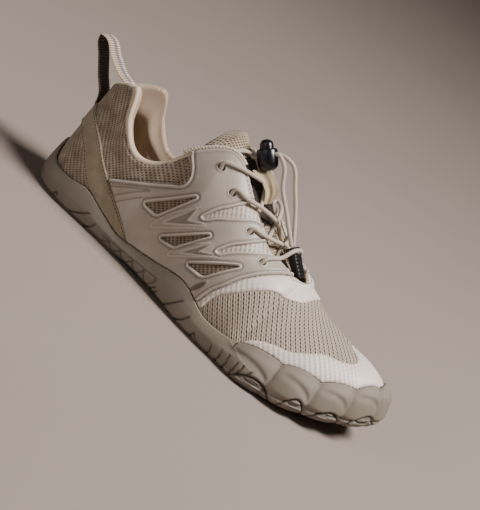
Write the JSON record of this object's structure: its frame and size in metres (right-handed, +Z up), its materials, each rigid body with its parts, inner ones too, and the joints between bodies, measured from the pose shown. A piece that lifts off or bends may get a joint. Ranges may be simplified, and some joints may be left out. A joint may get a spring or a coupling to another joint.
{
  "type": "trail shoe",
  "caption": "Low barefoot-style right trail shoe: thin lobed rubber cup sole, knit upper under a moulded side cage, elastic lace with a spring cord lock, heel pull loop.",
  "frame": {"origin": "on the floor under the middle of the heel, in the heel's resting face", "axes": "+X from heel to toe, +Y to the inner (medial) side, +Z up"},
  "size_m": [0.3005, 0.1072, 0.1173],
  "materials": {
    "outsole": "matte moulded rubber",
    "insole": "cloth-topped foam",
    "upper": "two-tone knit",
    "tongue": "padded knit",
    "cage": "satin moulded film",
    "strap": "nubuck",
    "film": "satin fused film",
    "keeper": "nubuck",
    "webbing": "striped webbing",
    "lace": "braided elastic cord",
    "lock": "black moulded plastic",
    "clip": "black moulded plastic"
  },
  "bodies": {
    "shoe": {"outsole": "outsole", "insole": "insole", "upper": "upper", "tongue": "tongue", "cage_lateral": "cage", "cage_medial": "cage", "heel_strap": "strap", "toe_overlay": "film", "throat_overlay": "film", "tongue_loop": "keeper", "pull_loop": "webbing", "lace_crossing_top": "lace", "lace_crossing_mid": "lace", "lace_crossing_low": "lace", "lace_bar": "lace", "lace_end_lateral": "lace", "lace_end_medial": "lace", "lock_barrel": "lock", "lace_clip": "clip"},
    "button": {"lock_button": "lock"}
  },
  "joints": [
    {"name": "button_press", "type": "slide", "parent": "shoe", "child": "button", "axis": [0.6947, 0, -0.7193], "range_m": [0, 0.003], "stiffness_N_per_m": 1500}
  ]
}
